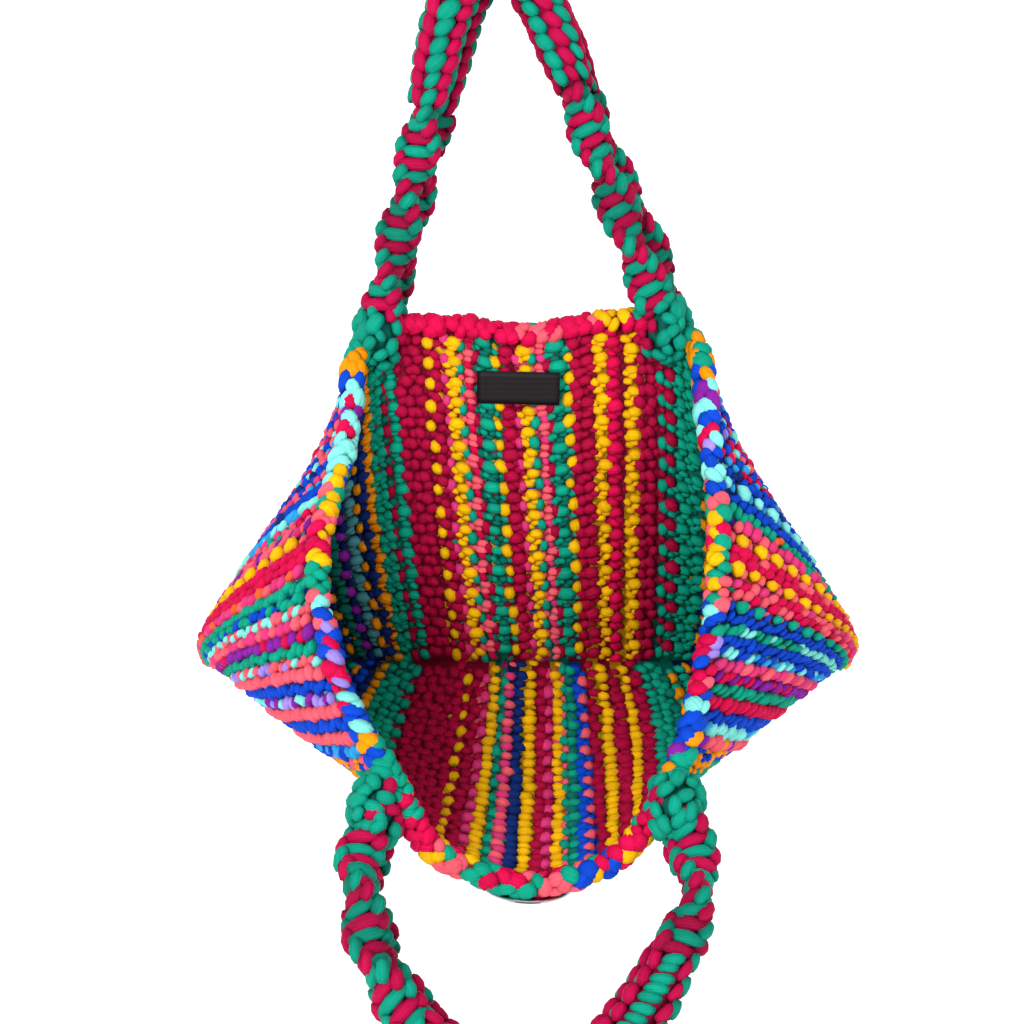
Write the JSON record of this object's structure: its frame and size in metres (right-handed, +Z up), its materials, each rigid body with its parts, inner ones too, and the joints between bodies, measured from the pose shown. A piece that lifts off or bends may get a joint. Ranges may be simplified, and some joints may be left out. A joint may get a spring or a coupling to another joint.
{
  "type": "macrame tote bag",
  "caption": "Chunky knotted cotton-jersey tote bag with striped panels and rope handles, hung by its back handle with the mouth open and the front panel drooping forward.",
  "frame": {"origin": "underside of the top of the back handle, midway between its two ropes, where a hook or a hand bears", "axes": "+Z up; +X along the back rim, to the viewer's right when looking into the mouth; -Y towards the viewer, the way that the front panel droops"},
  "size_m": [0.4377, 0.398, 0.6033],
  "materials": {
    "cloth_back": "matte knotted cotton jersey",
    "cloth_front": "matte knotted cotton jersey",
    "rim": "matte knotted cotton jersey",
    "rope": "matte knotted cotton jersey",
    "anchor": "matte knotted cotton jersey",
    "label": "plain woven ribbon",
    "plate": "polished"
  },
  "bodies": {
    "root": {"back_panel": "cloth_back", "front_panel": "cloth_front", "rim_edging": "rim", "handle_back_rope_front": "rope", "handle_back_rope_rear": "rope", "handle_front_rope_front": "rope", "handle_front_rope_rear": "rope", "anchor_back_left": "anchor", "anchor_back_right": "anchor", "anchor_front_left": "anchor", "anchor_front_right": "anchor", "label": "label", "metal_plate": "plate"}
  },
  "joints": []
}
